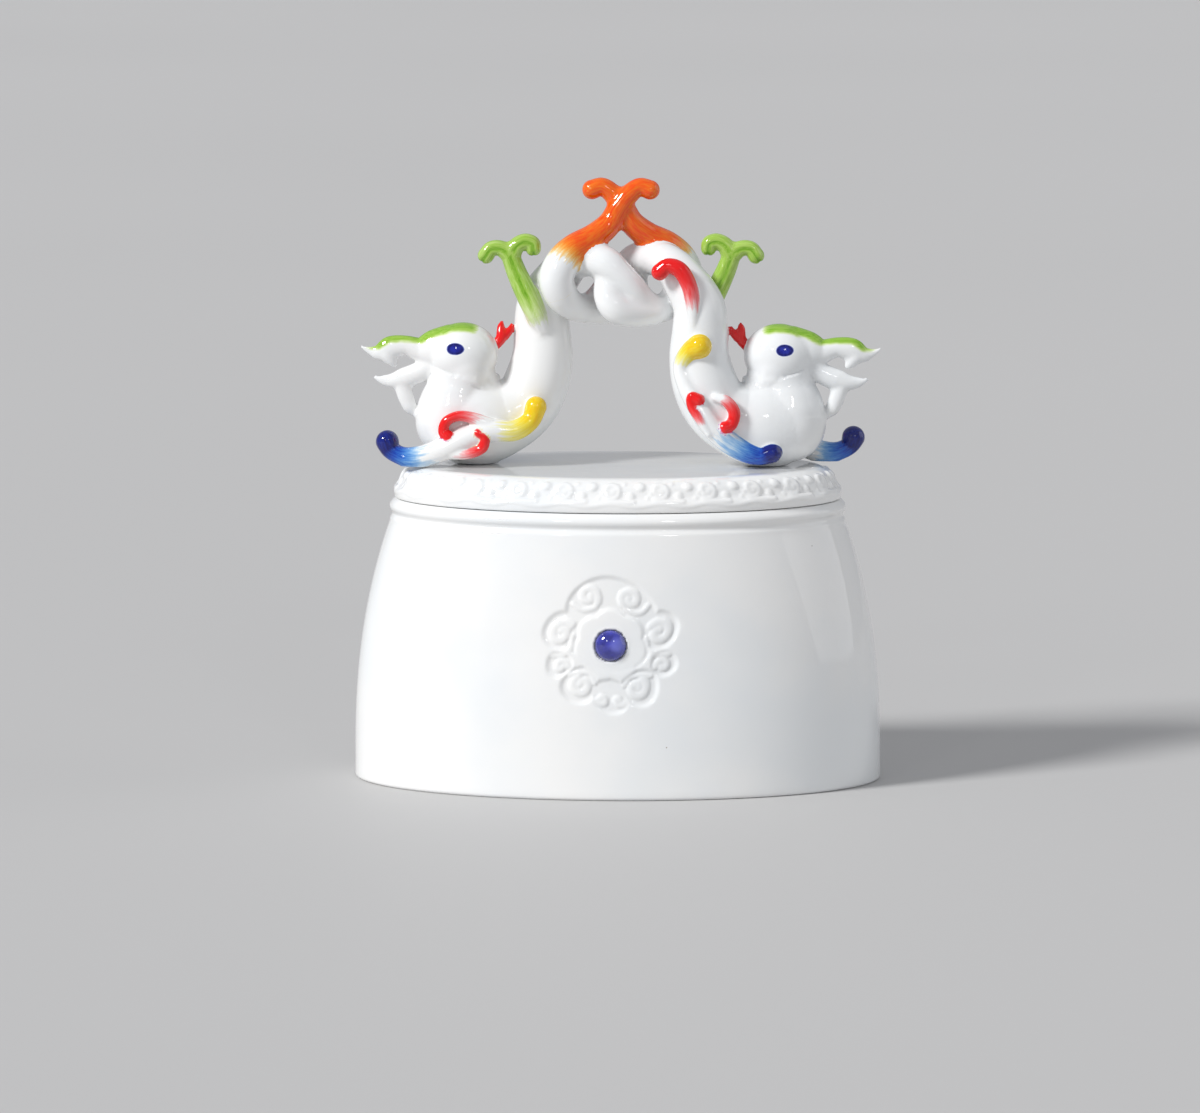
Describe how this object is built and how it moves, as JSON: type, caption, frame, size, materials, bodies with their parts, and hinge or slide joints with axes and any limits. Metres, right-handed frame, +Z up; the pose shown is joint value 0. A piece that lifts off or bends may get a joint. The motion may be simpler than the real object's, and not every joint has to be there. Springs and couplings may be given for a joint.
{
  "type": "lidded porcelain box",
  "caption": "Oval white porcelain box with a lift-off lid, twisted dragon handle, relief band and a medallion with a blue cabochon.",
  "frame": {"origin": "middle of the oval foot, on the surface the box stands on", "axes": "+Z up, +X along the length of the box, -Y is the face with the medallion"},
  "size_m": [0.2408, 0.1538, 0.2751],
  "materials": {
    "white_porcelain": "clear gloss glaze over white porcelain",
    "painted_porcelain": "clear gloss glaze with painted green, yellow, orange, red and blue accents that fade into white",
    "blue_cabochon": "high gloss violet-blue enamel bead"
  },
  "bodies": {
    "root": {"box_body": "white_porcelain", "lid_with_dragon_handle": "painted_porcelain", "medallion_cabochon": "blue_cabochon"}
  },
  "joints": []
}
